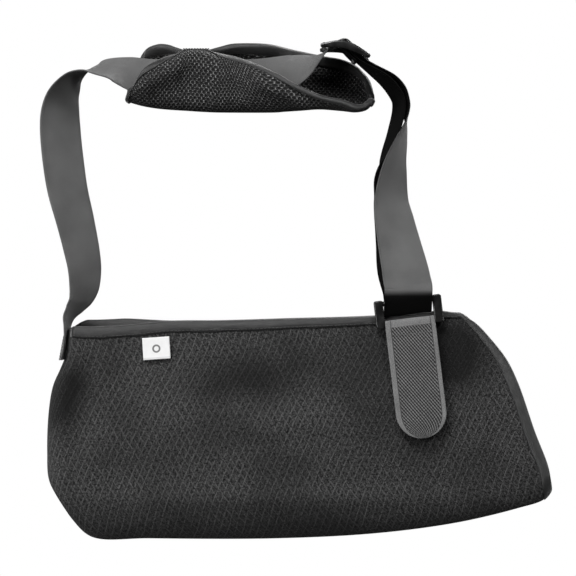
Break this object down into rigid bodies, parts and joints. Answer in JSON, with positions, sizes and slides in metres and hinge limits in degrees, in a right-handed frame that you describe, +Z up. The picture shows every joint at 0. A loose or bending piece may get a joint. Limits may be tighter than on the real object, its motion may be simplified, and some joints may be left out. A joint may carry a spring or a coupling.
{
  "type": "arm_sling",
  "caption": "Arm sling: padded mesh fabric forearm pouch with bound mouth, hung from a webbing strap with shoulder pad, tri-glide slider, ring and hook tape tab",
  "frame": {"origin": "middle of the shoulder pad's underside, where it rests on the shoulder", "axes": "+Z up as worn, +X towards the hand end of the pouch, +Y towards the wearer's body"},
  "size_m": [0.4095, 0.0579, 0.3994],
  "materials": {
    "webbing": "fine-ribbed polyester webbing, satin",
    "thread": "twisted polyester thread",
    "buckle_plastic": "moulded acetal, semi-gloss",
    "pad_air_mesh": "three-dimensional air mesh",
    "satin_binding": "satin-weave binding tape",
    "pouch_cloth": "knitted cloth with a fine diamond lattice",
    "foam": "open-cell foam core",
    "lining_cloth": "brushed knit lining",
    "tape": "woven tape with twill ground",
    "hook_plastic": "moulded hooks",
    "label_cloth": "white woven satin label"
  },
  "bodies": {
    "pad": {"pad_mesh": "pad_air_mesh", "pad_binding": "satin_binding", "pad_centre_tack": "thread"},
    "strap": {"shoulder_strap": "webbing", "strap_end_tack": "thread"},
    "slider": {"tri_glide_slider": "buckle_plastic"},
    "pouch": {"pouch_outer_fabric": "pouch_cloth", "pouch_foam": "foam", "pouch_lining": "lining_cloth", "mouth_binding": "satin_binding", "binding_stitch_front": "thread", "binding_stitch_rear": "thread", "strap_tail": "webbing", "tail_stitch_front": "thread", "tail_stitch_rear": "thread", "tail_cross_stitch": "thread", "tab_anchor": "tape", "tab_anchor_stitch": "thread"},
    "ring": {"strap_ring": "buckle_plastic"},
    "tab": {"tab_tape": "tape", "tab_hook_field": "hook_plastic", "tab_loop_stitch": "thread"},
    "label": {"size_label": "label_cloth"}
  },
  "joints": [
    {"name": "strap_through_pad", "type": "slide", "parent": "pad", "child": "strap", "axis": [1, 0, 0], "range_m": [-0.006, 0.006]},
    {"name": "slider_travel", "type": "slide", "parent": "strap", "child": "slider", "axis": [0.975, 0, -0.222], "range_m": [-0.004, 0.004], "deforming": ["shoulder_strap"]},
    {"name": "pouch_swing", "type": "hinge", "parent": "strap", "child": "pouch", "pos_m": [-0.147, 0, -0.1712], "axis": [0.9959, -0.0541, 0.0731], "range_deg": [-28, 28]},
    {"name": "ring_tilt", "type": "hinge", "parent": "pouch", "child": "ring", "pos_m": [0.1273, -0.0148, -0.16808], "axis": [0.9931, 0, 0.117], "range_deg": [-8, 8]},
    {"name": "tab_peel", "type": "hinge", "parent": "pouch", "child": "tab", "pos_m": [0.1273, -0.0148, -0.16808], "axis": [0.9931, 0, 0.117], "range_deg": [-110, 0]},
    {"name": "label_lift", "type": "hinge", "parent": "pouch", "child": "label", "pos_m": [-0.0746, -0.0176, -0.1804], "axis": [0.9982, 0, 0.06], "range_deg": [-120, 0]}
  ]
}
